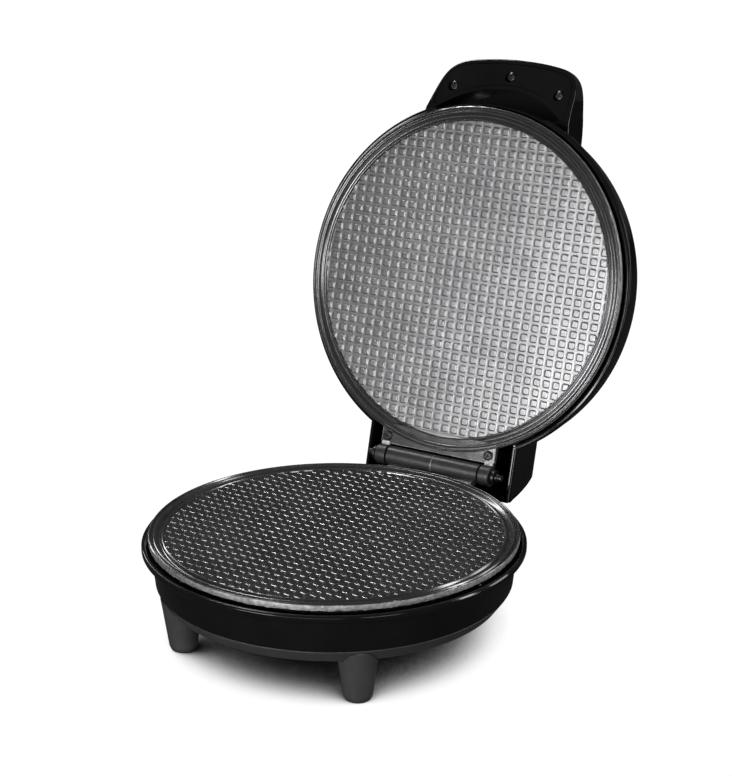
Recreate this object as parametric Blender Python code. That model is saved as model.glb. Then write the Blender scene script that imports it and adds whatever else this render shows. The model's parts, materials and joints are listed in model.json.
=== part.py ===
"""Electric waffle cone maker, modelled with its lid open.

Row frame: metres, +Z up, the hinge axis along X, the handle side towards -Y
when the lid is shut. Z = 0 is the plane of the four feet and the origin is
the middle of the open object's footprint.
Shapes are drawn in millimetres about the centre of the baking plates: that
local frame has Z = 0 on the parting plane between the two plates. Lid pieces
are drawn as if the lid were shut and hang on an empty on the hinge axis.
"""

import math

import bmesh
import bpy
from mathutils import Matrix, Vector

# ------------------------------------------------------------ driving sizes
MM = 0.001
PLATE_R = 100.0          # outer radius of both baking plates
FIELD_R = 91.4           # radius of the waffle field inside the rings
RIM_GAP = 0.4            # each rim stands this far off the parting plane
PARTING_Z = 59.0         # parting plane above the table
CENTRE_Y = -50.67        # plate centre in the row frame
HINGE_Y = 109.0          # hinge axis behind the plate centre
HINGE_Z = 1.0            # hinge axis above the parting plane
OPEN_DEG = 105.0         # how far the lid stands open at rest
PIN_R = 2.5
BORE_R = 2.56
BARREL_R = 5.8
BARREL_HALF = 30.3
KNUCKLE_R = 6.0
KNUCKLE_IN, KNUCKLE_OUT = 31.2, 37.7
LIP_R = 103.8            # flared lip of both mouldings
FOOT_X, FOOT_Y = 55.0, 64.5      # front feet
REAR_FOOT_X, REAR_FOOT_Y = 48.0, 72.0   # rear feet stand further back, under the open lid
LOWER_UNDER, UPPER_UNDER = 7.6, 6.4     # undersides of the two plates; the lower one is the heavier
TOWER_HALF = 46.0        # half width of the hinge housing on the base
LOBE_R = 11.5            # its round back, about the hinge axis
HOOD_HALF = 49.0         # half width of the lid's hood behind the plate
WALL = 2.4
STEPS = 40

for leftover in list(bpy.data.objects):
    bpy.data.objects.remove(leftover, do_unlink=True)


# ---------------------------------------------------------------- materials
def material(name, colour, roughness, metallic):
    made = bpy.data.materials.new(name)
    made.use_nodes = True
    shader = made.node_tree.nodes["Principled BSDF"]
    shader.inputs["Base Color"].default_value = (*colour, 1.0)
    shader.inputs["Roughness"].default_value = roughness
    shader.inputs["Metallic"].default_value = metallic
    return made


GLOSS = material("gloss_black_plastic", (0.008, 0.008, 0.009), 0.12, 0.0)
SATIN = material("satin_dark_grey_plastic", (0.035, 0.035, 0.037), 0.42, 0.0)
COATED = material("non_stick_coated_aluminium", (0.06, 0.06, 0.065), 0.38, 0.4)
STEEL = material("zinc_plated_steel", (0.62, 0.62, 0.60), 0.30, 1.0)
DARK_STEEL = material("black_oxide_steel", (0.06, 0.06, 0.06), 0.35, 1.0)
HEATER = material("heater_tube", (0.22, 0.20, 0.18), 0.45, 1.0)
SHEET = material("aluminised_sheet", (0.60, 0.61, 0.62), 0.35, 1.0)
CERAMIC = material("white_ceramic", (0.80, 0.78, 0.74), 0.5, 0.0)
RUBBER = material("black_rubber", (0.02, 0.02, 0.02), 0.8, 0.0)
RED = material("red_lens", (0.55, 0.02, 0.02), 0.2, 0.0)
GREEN = material("green_lens", (0.03, 0.35, 0.06), 0.2, 0.0)
GLASS = material("neon_glass", (0.75, 0.72, 0.65), 0.1, 0.0)


# ------------------------------------------------------------------- groups
def empty(name, location, turn=0.0):
    made = bpy.data.objects.new(name, None)
    made.location = location
    made.rotation_euler = (turn, 0.0, 0.0)
    bpy.context.scene.collection.objects.link(made)
    return made


BASE = empty("plate_centre", (0.0, CENTRE_Y * MM, PARTING_Z * MM))
LID = empty(
    "lid_hinge",
    (0.0, (CENTRE_Y + HINGE_Y) * MM, (PARTING_Z + HINGE_Z) * MM),
    -math.radians(OPEN_DEG),
)


# ------------------------------------------------------------ shape helpers
def lathe_bm(profile, steps=STEPS):
    """A closed (r, z) outline turned about Z."""
    bm = bmesh.new()
    rings = []
    for r, z in profile:
        if r < 1e-6:
            rings.append([bm.verts.new((0.0, 0.0, z))] * steps)
        else:
            rings.append([
                bm.verts.new((r * math.cos(math.tau * i / steps), r * math.sin(math.tau * i / steps), z))
                for i in range(steps)
            ])
    for index, ring in enumerate(rings):
        other = rings[(index + 1) % len(rings)]
        for i in range(steps):
            j = (i + 1) % steps
            corners = []
            for vert in (ring[i], ring[j], other[j], other[i]):
                if vert not in corners:
                    corners.append(vert)
            if len(corners) > 2:
                bm.faces.new(corners)
    return bm


def prism_bm(outline, axis, low, high):
    """A flat outline pushed along X (given as y, z), Y (x, z) or Z (x, y)."""
    def at(a, b, along):
        return {"X": (along, a, b), "Y": (a, along, b), "Z": (a, b, along)}[axis]

    bm = bmesh.new()
    face = bm.faces.new([bm.verts.new(at(a, b, low)) for a, b in outline])
    push = Vector(at(0.0, 0.0, high - low))
    moved = bmesh.ops.extrude_face_region(bm, geom=[face])
    bmesh.ops.translate(bm, vec=push, verts=[v for v in moved["geom"] if isinstance(v, bmesh.types.BMVert)])
    return bm


def rod_bm(centre, axis, radius, length, steps=20, radius_top=None):
    """A cylinder or cone; centre is its middle."""
    turn = {
        "X": Matrix.Rotation(math.pi / 2, 4, "Y"),
        "Y": Matrix.Rotation(-math.pi / 2, 4, "X"),
        "Z": Matrix.Identity(4),
    }[axis]
    bm = bmesh.new()
    bmesh.ops.create_cone(
        bm, cap_ends=True, segments=steps, radius1=radius,
        radius2=radius if radius_top is None else radius_top,
        depth=length, matrix=Matrix.Translation(centre) @ turn,
    )
    return bm


def box_bm(low, high):
    bm = bmesh.new()
    size = [h - l for l, h in zip(low, high)]
    mid = [(h + l) / 2 for l, h in zip(low, high)]
    bmesh.ops.create_cube(bm, size=1.0, matrix=Matrix.Translation(mid) @ Matrix.Diagonal((*size, 1.0)))
    return bm


def polar(radius, degrees):
    return radius * math.cos(math.radians(degrees)), radius * math.sin(math.radians(degrees))


def arc(centre, radius, start, end, steps):
    return [
        (
            centre[0] + radius * math.cos(math.radians(start + (end - start) * i / steps)),
            centre[1] + radius * math.sin(math.radians(start + (end - start) * i / steps)),
        )
        for i in range(steps + 1)
    ]


def solid(name, bm, parent, look=None, helper=False):
    """An object from shapes drawn in plate millimetres."""
    if parent is LID:
        bmesh.ops.translate(bm, vec=(0.0, -HINGE_Y, -HINGE_Z), verts=bm.verts[:])
    bmesh.ops.scale(bm, vec=(MM, MM, MM), verts=bm.verts[:])
    bmesh.ops.recalc_face_normals(bm, faces=bm.faces[:])
    data = bpy.data.meshes.new(name)
    bm.to_mesh(data)
    bm.free()
    data.shade_smooth()
    data.set_sharp_from_angle(angle=math.radians(30))
    made = bpy.data.objects.new(name, data)
    made.parent = parent
    bpy.context.scene.collection.objects.link(made)
    if look is not None:
        data.materials.append(look)
    if helper:
        made.hide_render = True
        made.display_type = "WIRE"
    return made


helper_count = 0


def boolean(target, operation, bm):
    """Joins or cuts with a hidden helper in the same group as its target."""
    global helper_count
    helper_count += 1
    tool = solid(f"tool_{helper_count:03d}", bm, target.parent, helper=True)
    step = target.modifiers.new(f"{operation.lower()}_{helper_count:03d}", "BOOLEAN")
    step.operation = operation
    step.solver = "EXACT"
    step.object = tool
    return tool


def join(target, bm):
    return boolean(target, "UNION", bm)


def cut(target, bm):
    return boolean(target, "DIFFERENCE", bm)


def keep(target, bm):
    return boolean(target, "INTERSECT", bm)


def flip(profile):
    """The same outline for the other plate, mirrored in the parting plane."""
    return [(r, -z) for r, z in profile]


def screw(name, parent, at, up, look, head_r=3.0, head_h=2.0, shank_r=1.4, length=8.0):
    """A pan-head screw; at is the underside of its head, up where the shank points."""
    x, y, z = at
    outline = [(0.0, length), (shank_r, length), (shank_r, 0.0), (head_r, 0.0), (head_r, -head_h * 0.45),
               (head_r * 0.72, -head_h), (0.0, -head_h)]
    bm = lathe_bm([(r, up * along) for r, along in outline], 10)
    bmesh.ops.translate(bm, vec=(x, y, z), verts=bm.verts[:])
    made = solid(name, bm, parent, look)
    slot_z = z - up * head_h
    for size in ((1.9, 0.35), (0.35, 1.9)):
        cut(made, box_bm((x - size[0], y - size[1], slot_z - 0.9), (x + size[0], y + size[1], slot_z + 0.9)))
    return made


# ------------------------------------------------------------ baking plates
# Section of the lower plate from its middle to its rough cast edge: waffle
# field, raised edge line, channel, round bead, groove, outer ring.
PLATE_TOP = [
    (0.0, -1.9), (FIELD_R, -1.9), (FIELD_R + 0.5, -1.1), (92.6, -1.1), (93.1, -2.4),
    (95.2, -2.4), (96.2, -0.7), (96.8, -RIM_GAP), (97.4, -0.7), (98.0, -1.5),
    (98.7, -1.5), (99.3, -RIM_GAP), (PLATE_R, -0.9),
]
def plate_under(depth):
    return [(PLATE_R, -3.7), (99.6, -4.1), (96.5, -4.1), (94.0, -depth), (0.0, -depth)]


SHIELD_BOSS = [(75.0, 0.0), (-75.0, 0.0)]

lower_plate = solid("lower_plate", lathe_bm(PLATE_TOP + plate_under(LOWER_UNDER)), BASE, COATED)
join(lower_plate, prism_bm(
    [(94.5, -6.6), (94.5, -3.0), (101.0, -3.0), (105.5, -1.4), (109.0, -1.4), (109.0, -4.2), (104.0, -6.6)],
    "X", -28.0, 28.0))
join(lower_plate, rod_bm((0, HINGE_Y, HINGE_Z), "X", BARREL_R, 2 * BARREL_HALF, 24))
for angle in (0, 120, 240):
    x, y = polar(89.0, angle)
    join(lower_plate, rod_bm((x, y, -7.9), "Z", 3.6, 3.0, 16))
    cut(lower_plate, rod_bm((x, y, -8.0), "Z", 1.7, 7.0, 12))
for x, y in SHIELD_BOSS:
    join(lower_plate, rod_bm((x, y, -9.7), "Z", 3.4, 8.0, 16))
    cut(lower_plate, rod_bm((x, y, -11.0), "Z", 1.7, 8.0, 12))
cut(lower_plate, rod_bm((0, HINGE_Y, HINGE_Z), "X", BORE_R, 80.0, 20))

upper_plate = solid("upper_plate", lathe_bm(flip(PLATE_TOP + plate_under(UPPER_UNDER))), LID, COATED)
join(upper_plate, prism_bm(
    [(-37.7, 90.0), (37.7, 90.0), (37.7, 101.4), (36.9, 102.2), (-36.9, 102.2), (-37.7, 101.4)],
    "Z", 1.3, 4.7))
for side in (-1, 1):
    middle = side * (KNUCKLE_IN + KNUCKLE_OUT) / 2
    join(upper_plate, prism_bm(
        [(98.5, 1.6), (98.5, 4.4), (104.0, 5.2), (109.0, 6.6), (109.0, 0.0), (104.0, 0.9)],
        "X", middle - 2.9, middle + 2.9))
    join(upper_plate, rod_bm((middle, HINGE_Y, HINGE_Z), "X", KNUCKLE_R, KNUCKLE_OUT - KNUCKLE_IN, 24))
    cut(upper_plate, rod_bm((side * 33.6, 97.5, 3.0), "Z", 1.75, 8.0, 12))
for x, y in SHIELD_BOSS:
    join(upper_plate, rod_bm((x, y, 9.7), "Z", 3.4, 8.0, 16))
    cut(upper_plate, rod_bm((x, y, 11.0), "Z", 1.7, 8.0, 12))
cut(upper_plate, rod_bm((0, HINGE_Y, HINGE_Z), "X", BORE_R, 90.0, 20))

# -------------------------------------------------------------- base housing
base_shell = solid("base_shell", lathe_bm([
    (0.0, -5.1), (101.1, -5.1), (102.2, -5.0), (103.2, -5.2), (LIP_R, -6.0), (LIP_R, -8.2),
    (103.0, -9.2), (99.4, -10.0), (98.6, -11.0), (96.9, -27.2), (96.5, -27.6), (0.0, -27.6),
]), BASE, GLOSS)
TOWER_BACK = HINGE_Y - 0.2
join(base_shell, prism_bm(
    [(80.0, -27.6), (TOWER_BACK, -27.6), (TOWER_BACK, HINGE_Z - LOBE_R + 0.1)]
    + arc((HINGE_Y, HINGE_Z), LOBE_R, -89.0, -6.0, 10) + [(119.6, 0.4), (80.0, 0.4)],
    "X", -TOWER_HALF, TOWER_HALF))
cut(base_shell, lathe_bm([
    (0.0, 20.0), (101.1, 20.0), (101.1, -5.2), (98.4, -6.6), (96.7, -8.0), (96.0, -12.2),
    (94.4, -29.0), (0.0, -29.0),
]))
cut(base_shell, box_bm((-41.5, 85.0, -7.4), (41.5, 130.0, 20.0)))
cut(base_shell, box_bm((-43.5, 80.0, -31.0), (43.5, 106.4, -9.9)))
cut(base_shell, rod_bm((0, HINGE_Y, HINGE_Z), "X", 3.0, 100.0, 20))
GLAND_X, GLAND_Z = 28.0, -21.2
cut(base_shell, rod_bm((GLAND_X, 108.0, GLAND_Z), "Y", 4.8, 8.0, 16))
COVER_SCREW = {"cover_screw_front": 270, "cover_screw_right": 30, "cover_screw_left": 150}
for angle in COVER_SCREW.values():
    x, y = polar(86.5, angle)
    outer = polar(95.2, angle)
    join(base_shell, rod_bm((x, y, -21.9), "Z", 3.5, 19.0, 14))
    across = Vector((-math.sin(math.radians(angle)), math.cos(math.radians(angle)), 0.0)) * 1.1
    join(base_shell, prism_bm([
        (x + across.x, y + across.y), (outer[0] + across.x, outer[1] + across.y),
        (outer[0] - across.x, outer[1] - across.y), (x - across.x, y - across.y)], "Z", -22.0, -13.0))
    cut(base_shell, rod_bm((x, y, -27.5), "Z", 1.7, 16.0, 12))
PLATE_SCREW = {"plate_screw_right": 0, "plate_screw_rear": 120, "plate_screw_front": 240}
for angle in PLATE_SCREW.values():
    x, y = polar(89.0, angle)
    ends = [polar(84.6, angle), polar(97.7, angle)]
    across = Vector((-math.sin(math.radians(angle)), math.cos(math.radians(angle)), 0.0)) * 4.6
    join(base_shell, prism_bm([
        (ends[0][0] + across.x, ends[0][1] + across.y), (ends[1][0] + across.x, ends[1][1] + across.y),
        (ends[1][0] - across.x, ends[1][1] - across.y), (ends[0][0] - across.x, ends[0][1] - across.y)],
        "Z", -12.4, -9.8))
    cut(base_shell, rod_bm((x, y, -11.0), "Z", 1.75, 8.0, 12))
    screw(f"plate_screw_{[k for k, v in PLATE_SCREW.items() if v == angle][0].split('_')[-1]}",
          BASE, (x, y, -12.7), 1, STEEL, length=7.4)

# ------------------------------------------------ bottom cover, feet, screws
bottom_cover = solid("bottom_cover", lathe_bm([
    (96.2, -27.9), (96.2, -28.4), (91.4, -35.0), (90.4, -35.6), (0.0, -35.6), (0.0, -33.2),
    (88.9, -33.2), (92.2, -29.4), (92.2, -22.6), (93.9, -22.6), (93.9, -27.9),
]), BASE, SATIN)
tab = join(bottom_cover, prism_bm(
    [(77.0, -35.4), (102.8, -35.4), (TOWER_BACK - 0.4, -28.4), (TOWER_BACK - 0.4, -28.0), (77.0, -28.0)],
    "X", -45.8, 45.8))
keep(tab, prism_bm([(-45.7, -20.0), (-45.7, -28.4), (-40.4, -35.8), (-40.4, -40.0), (40.4, -40.0), (40.4, -35.8),
                    (45.7, -28.4), (45.7, -20.0)], "Y", 60.0, 125.0))
cut(bottom_cover, box_bm((-42.8, 74.0, -33.0), (42.8, 105.2, -20.0)))
for name, angle in COVER_SCREW.items():
    x, y = polar(86.5, angle)
    sunk = lathe_bm([(0.0, -40.0), (3.3, -40.0), (3.3, -34.6), (1.75, -34.6), (1.75, -27.0), (0.0, -27.0)], 14)
    bmesh.ops.rotate(sunk, cent=(0, 0, 0), matrix=Matrix.Rotation(0.11, 3, "Z"), verts=sunk.verts[:])
    bmesh.ops.translate(sunk, vec=(x, y, 0.0), verts=sunk.verts[:])
    cut(bottom_cover, sunk)
    screw(name, BASE, (x, y, -34.9), 1, STEEL, head_r=2.9, head_h=1.2, length=11.0)
FEET = {
    "foot_front_left": (-FOOT_X, -FOOT_Y), "foot_front_right": (FOOT_X, -FOOT_Y),
    "foot_rear_left": (-REAR_FOOT_X, REAR_FOOT_Y), "foot_rear_right": (REAR_FOOT_X, REAR_FOOT_Y),
}
for name, (x, y) in FEET.items():
    # The foot's top is trimmed along the cover's floor and its bevel.
    foot = solid(name, lathe_bm([(0.0, -28.5), (10.4, -28.5), (7.4, -57.4), (6.2, -PARTING_Z), (0.0, -PARTING_Z)], 20),
                 BASE, SATIN)
    foot.location = (x * MM, y * MM, 0.0)
    trim = cut(foot, lathe_bm([
        (0.0, -35.9), (90.5, -35.9), (91.7, -35.3), (96.5, -28.7), (96.5, -20.0), (0.0, -20.0)], 96))
    join(foot, rod_bm((x, y, -35.0), "Z", 2.8, 5.0, 14)).location = (0, 0, 0)
    cut(bottom_cover, rod_bm((x, y, -34.5), "Z", 3.1, 6.0, 14))
for row in (-1, 1):
    for column in range(-3, 4):
        cut(bottom_cover, box_bm((column * 7.0 - 1.2, row * 30.0 - 10.0, -38.0), (column * 7.0 + 1.2, row * 30.0 + 10.0, -30.0)))


# ------------------------------------------------------- heating and control
def element(name, parent, z, drop):
    """A tubular heater bent to an open ring, its two ends turned away from the plate."""
    steps, tube, sides = 24, 2.8, 8
    path = [Vector((*polar(62.0, 106.0 + 328.0 * i / steps), z)) for i in range(steps + 1)]
    start, end = path[0], path[-1]
    path = [Vector((start.x, start.y, z + drop)), Vector((start.x, start.y, z + drop * 0.45))] + path[1:-1] + [
        Vector((end.x, end.y, z + drop * 0.45)), Vector((end.x, end.y, z + drop))]
    bm = bmesh.new()
    rings = []
    for i, point in enumerate(path):
        before, after = path[max(i - 1, 0)], path[min(i + 1, len(path) - 1)]
        along = (after - before).normalized()
        out = Vector((point.x, point.y, 0.0)).normalized()
        side = along.cross(out).normalized()
        out = side.cross(along).normalized()
        rings.append([
            bm.verts.new(point + tube * (math.cos(math.tau * k / sides) * out + math.sin(math.tau * k / sides) * side))
            for k in range(sides)
        ])
    for a, b in zip(rings, rings[1:]):
        for k in range(sides):
            bm.faces.new((a[k], a[(k + 1) % sides], b[(k + 1) % sides], b[k]))
    bm.faces.new(rings[0])
    bm.faces.new(rings[-1])
    return solid(name, bm, parent, HEATER)


def heat_shield(name, parent, sign):
    made = solid(name, lathe_bm([
        (12.0, sign * 14.0), (79.0, sign * 14.0), (81.0, sign * 12.2), (81.5, sign * 12.8),
        (79.4, sign * 14.8), (12.0, sign * 14.8)], 30), parent, SHEET)
    cut(made, box_bm((-31.0, 47.0, sign * 14.0 - 4.0), (31.0, 92.0, sign * 14.0 + 4.0)))
    for x, y in SHIELD_BOSS:
        cut(made, rod_bm((x, y, sign * 14.0), "Z", 1.75, 4.0, 12))
    return made


element("lower_element", BASE, -10.75, -12.6)
element("upper_element", LID, 9.6, 12.8)
heat_shield("lower_heat_shield", BASE, -1)
heat_shield("upper_heat_shield", LID, 1)
for side, word in ((1, "right"), (-1, "left")):
    screw(f"lower_shield_screw_{word}", BASE, (side * 75.0, 0.0, -15.1), 1, STEEL, length=6.5)
    screw(f"upper_shield_screw_{word}", LID, (side * 75.0, 0.0, 15.1), -1, STEEL, length=6.5)

thermostat = solid("thermostat", rod_bm((0, 0, -10.2), "Z", 8.0, 4.4, 24), BASE, SHEET)
join(thermostat, rod_bm((0, 0, -13.6), "Z", 6.6, 4.4, 24))
for side in (-1, 1):
    join(thermostat, box_bm((side * 4.0 - 0.4, -2.4, -21.0), (side * 4.0 + 0.4, 2.4, -15.0)))
for name, parent, z in (("lower_thermal_fuse", BASE, -10.2), ("upper_thermal_fuse", LID, 9.0)):
    fuse = solid(name, rod_bm((0, -30.0, z), "X", 2.2, 14.0, 14), parent, SHEET)
    join(fuse, rod_bm((0, -30.0, z), "X", 0.7, 24.0, 10))
terminal_block = solid("terminal_block", box_bm((-17.0, 67.0, -32.9), (17.0, 78.0, -23.0)), BASE, CERAMIC)
for column in (-1, 0, 1):
    cut(terminal_block, rod_bm((column * 11.0, 72.5, -26.0), "Y", 2.2, 20.0, 12))
    cut(terminal_block, rod_bm((column * 11.0, 72.5, -22.0), "Z", 1.8, 6.0, 12))
cord_gland = solid("cord_gland", rod_bm((GLAND_X, 108.6, GLAND_Z), "Y", 4.5, 9.0, 20), BASE, RUBBER)
join(cord_gland, rod_bm((GLAND_X, 110.5, GLAND_Z), "Y", 5.6, 2.6, 20))
cut(cord_gland, rod_bm((GLAND_X, 108.6, GLAND_Z), "Y", 3.1, 20.0, 16))

# -------------------------------------------------------------------- hinge
hinge_pin = solid("hinge_pin", rod_bm((0, HINGE_Y, HINGE_Z), "X", PIN_R, 86.0, 20), BASE, STEEL)
for side, word in ((1, "right"), (-1, "left")):
    join(hinge_pin, rod_bm((side * 43.3, HINGE_Y, HINGE_Z), "X", PIN_R - 0.5, 2.4, 20))
    clip = solid(f"hinge_clip_{word}", rod_bm((side * 39.6, HINGE_Y, HINGE_Z), "X", 4.4, 1.8, 20), BASE, DARK_STEEL)
    cut(clip, rod_bm((side * 39.6, HINGE_Y, HINGE_Z), "X", 2.8, 6.0, 20))

# ---------------------------------------------------------------- lid shell
lid_shell = solid("lid_shell", lathe_bm([
    (0.0, 12.0), (97.0, 12.0), (101.1, 5.2), (102.2, 5.0), (103.2, 5.2), (LIP_R, 6.0), (LIP_R, 8.2), (103.0, 9.2),
    (101.6, 10.0), (101.3, 11.0), (100.6, 22.0), (99.2, 26.0), (95.5, 30.0), (88.0, 33.2),
    (72.0, 35.6), (40.0, 36.4), (0.0, 36.6),
]), LID, GLOSS)
hood = join(lid_shell, prism_bm(
    [(60.0, 5.0), (123.0, 5.0), (121.6, 11.0), (118.4, 19.0), (113.0, 28.5), (106.5, 35.0), (99.0, 38.4),
     (91.0, 39.0), (76.0, 37.6), (60.0, 34.0)], "X", -HOOD_HALF - 1.0, HOOD_HALF + 1.0))
keep(hood, prism_bm([(-49.0, 0.0), (-49.0, 30.0), (-47.2, 34.6), (-43.0, 37.6), (-37.0, 39.2), (37.0, 39.2),
                     (43.0, 37.6), (47.2, 34.6), (49.0, 30.0), (49.0, 0.0)], "Y", 50.0, 140.0))


def handle_plan(inset):
    """Half plan of the handle, mirrored; it narrows to a rounded tip."""
    right = [(50.0, -70.0), (49.0, -96.0), (45.8, -104.0), (44.4, -112.0), (43.0, -118.0), (40.4, -122.6),
             (36.0, -126.2), (29.0, -128.6), (15.0, -130.4)]
    shifted = []
    for x, y in right:
        depth = max(0.0, min(1.0, (-y - 110.0) / 20.0))
        shifted.append((x - inset * (1.0 - 0.75 * depth), y + inset * depth))
    return shifted + [(0.0, -131.0 + inset)] + [(-x, y) for x, y in reversed(shifted)]


def under_z(y):
    """Height of the handle's sloping underside."""
    return 18.6 + (-y - 104.0) * (32.4 - 18.6) / 26.4


handle = join(lid_shell, prism_bm(handle_plan(0.0), "Z", 0.0, 60.0))
keep(handle, prism_bm(
    [(-60.0, 34.6), (-88.0, 36.6), (-110.0, 37.4), (-126.0, 37.4), (-129.6, 36.6), (-131.0, 34.8),
     (-130.4, under_z(-130.4)), (-104.0, under_z(-104.0)), (-97.0, 15.2), (-60.0, 15.2)], "X", -60.0, 60.0))
# Inside of the dome, of the hood and of the handle.
cut(lid_shell, lathe_bm([
    (0.0, -10.0), (100.9, -10.0), (100.9, 5.4), (98.9, 6.8), (99.3, 11.0), (98.7, 21.8), (97.4, 25.2),
    (94.2, 28.6), (87.4, 31.4), (71.8, 33.7), (40.0, 34.5), (0.0, 34.7),
]))
hood_room = cut(lid_shell, prism_bm(
    [(66.0, -10.0), (120.4, -10.0), (120.4, 5.2), (119.1, 10.4), (116.1, 17.9), (110.9, 26.9), (104.8, 33.0),
     (98.3, 36.0), (91.0, 36.5), (77.0, 35.2), (66.0, 32.0)], "X", -48.0, 48.0))
keep(hood_room, prism_bm([(-46.5, -20.0), (-46.5, 29.4), (-45.0, 33.2), (-41.6, 35.6), (-36.4, 36.8), (36.4, 36.8),
                          (41.6, 35.6), (45.0, 33.2), (46.5, 29.4), (46.5, -20.0)], "Y", 50.0, 140.0))


def arch(offset, steps=12, reach=41.0):
    """The arched edge over the finger recess, from left to right."""
    return [
        (reach * t, -(97.6 + 15.0 * (1.0 - abs(t) ** 2.2)) - offset)
        for t in (-1.0 + 2.0 * i / steps for i in range(steps + 1))
    ]


# The finger recess between the lid's rim and the arch, open below.
rim = [polar(101.9, a) for a in (292, 286, 280, 275, 270, 265, 260, 254, 248)]
cut(lid_shell, prism_bm(arch(0.0) + [p for p in rim if abs(p[0]) < 38.0], "Z", -5.0, 33.0))
# The hollow that the handle cover closes.
cover_outline = handle_plan(2.6)
tip_side = [p for p in cover_outline if p[1] < -103.0]
hollow = tip_side + arch(2.4, reach=42.6)
handle_room = cut(lid_shell, prism_bm(hollow, "Z", 0.0, 60.0))
keep(handle_room, prism_bm(
    [(-95.0, 34.4), (-125.0, 34.9), (-128.4, 34.4), (-129.4, 31.0), (-129.4, 0.0), (-95.0, 0.0)], "X", -60.0, 60.0))
HANDLE_SCREWS = {"handle_screw_left": (-34.5, -112.0), "handle_screw_centre": (0.0, -120.4),
                 "handle_screw_right": (34.5, -112.0)}
for x, y in HANDLE_SCREWS.values():
    low = under_z(y) + 5.4
    join(lid_shell, rod_bm((x, y, (low + 36.0) / 2), "Z", 3.4, 36.0 - low, 16))
    cut(lid_shell, rod_bm((x, y, low + 1.0), "Z", 1.7, 11.0 if abs(x) > 1 else 9.0, 12))
for side in (-1, 1):
    join(lid_shell, rod_bm((side * 33.6, 97.5, 20.9), "Z", 3.8, 31.6, 16))
    cut(lid_shell, rod_bm((side * 33.6, 97.5, 9.0), "Z", 1.7, 20.0, 12))
LENSES = {"power": -13.0, "ready": 13.0}
for x in LENSES.values():
    cut(lid_shell, rod_bm((x, -52.0, 36.0), "Z", 4.3, 20.0, 20))

# ------------------------------------------------------------- handle cover
handle_cover = solid("handle_cover", prism_bm(
    [p for p in handle_plan(2.9) if p[1] < -103.0] + arch(2.7, reach=42.2), "Z", 0.0, 60.0), LID, GLOSS)
keep(handle_cover, prism_bm(
    [(-128.7, under_z(-128.7)), (-104.0, under_z(-104.0)), (-95.0, under_z(-95.0)), (-95.0, under_z(-95.0) + 2.6),
     (-104.0, under_z(-104.0) + 2.6), (-128.7, min(34.0, under_z(-128.7) + 2.4))], "X", -60.0, 60.0))
for name, (x, y) in HANDLE_SCREWS.items():
    low = under_z(y)
    post = join(handle_cover, rod_bm((x, y, low + 2.5), "Z", 4.5, 5.2, 16))
    keep(post, prism_bm([(-129.0, under_z(-129.0) + 0.4), (-95.0, under_z(-95.0) + 0.4), (-95.0, 60.0), (-129.0, 60.0)],
                        "X", -60.0, 60.0))
    cut(handle_cover, rod_bm((x, y, low - 2.0), "Z", 3.3, 9.6, 16))
    cut(handle_cover, rod_bm((x, y, low + 4.0), "Z", 1.7, 8.0, 12))
    screw(name, LID, (x, y, low + 2.5), 1, DARK_STEEL, head_r=2.9, head_h=1.5, length=6.2)

# ------------------------------------------------------- lid's small pieces
for side, word in ((1, "right"), (-1, "left")):
    screw(f"web_screw_{word}", LID, (side * 33.6, 97.5, 1.0), 1, DARK_STEEL, head_r=2.9, head_h=1.0, length=12.0)
for name, x in LENSES.items():
    look = RED if name == "power" else GREEN
    lens = solid(f"{name}_lens", rod_bm((x, -52.0, 33.4), "Z", 4.0, 7.2, 20, 3.6), LID, look)
    join(lens, rod_bm((x, -52.0, 31.0), "Z", 5.4, 2.4, 20))
    lamp = solid(f"{name}_lamp", rod_bm((x, -52.0, 24.0), "Z", 2.6, 10.0, 14), LID, GLASS)
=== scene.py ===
"""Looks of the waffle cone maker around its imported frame: fine shapes, finishes, studio and camera.

Shapes are drawn in millimetres about the centre of the baking plates, with Z = 0 on the parting
plane. Lid pieces are drawn as if the lid were shut, and LID turns them open about the hinge.
"""

import json
import math

import bmesh
import bpy
from mathutils import Matrix, Vector, noise

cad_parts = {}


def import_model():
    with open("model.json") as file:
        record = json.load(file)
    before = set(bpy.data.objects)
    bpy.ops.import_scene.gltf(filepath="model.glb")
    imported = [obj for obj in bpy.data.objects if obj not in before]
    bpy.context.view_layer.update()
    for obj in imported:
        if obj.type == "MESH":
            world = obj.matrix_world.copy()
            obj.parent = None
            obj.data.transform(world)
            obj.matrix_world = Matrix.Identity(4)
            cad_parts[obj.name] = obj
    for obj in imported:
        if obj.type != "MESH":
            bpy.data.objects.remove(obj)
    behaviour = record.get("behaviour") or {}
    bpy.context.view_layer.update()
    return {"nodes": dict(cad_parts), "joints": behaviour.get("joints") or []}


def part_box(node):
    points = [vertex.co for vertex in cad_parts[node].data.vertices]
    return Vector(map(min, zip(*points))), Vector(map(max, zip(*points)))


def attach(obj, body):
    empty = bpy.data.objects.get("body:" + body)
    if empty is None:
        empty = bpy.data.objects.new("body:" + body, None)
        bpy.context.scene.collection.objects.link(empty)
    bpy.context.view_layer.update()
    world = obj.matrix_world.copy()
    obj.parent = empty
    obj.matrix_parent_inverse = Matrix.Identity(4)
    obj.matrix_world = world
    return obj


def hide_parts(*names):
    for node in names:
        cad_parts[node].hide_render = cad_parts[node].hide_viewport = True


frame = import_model()
nodes = frame["nodes"]

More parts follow.
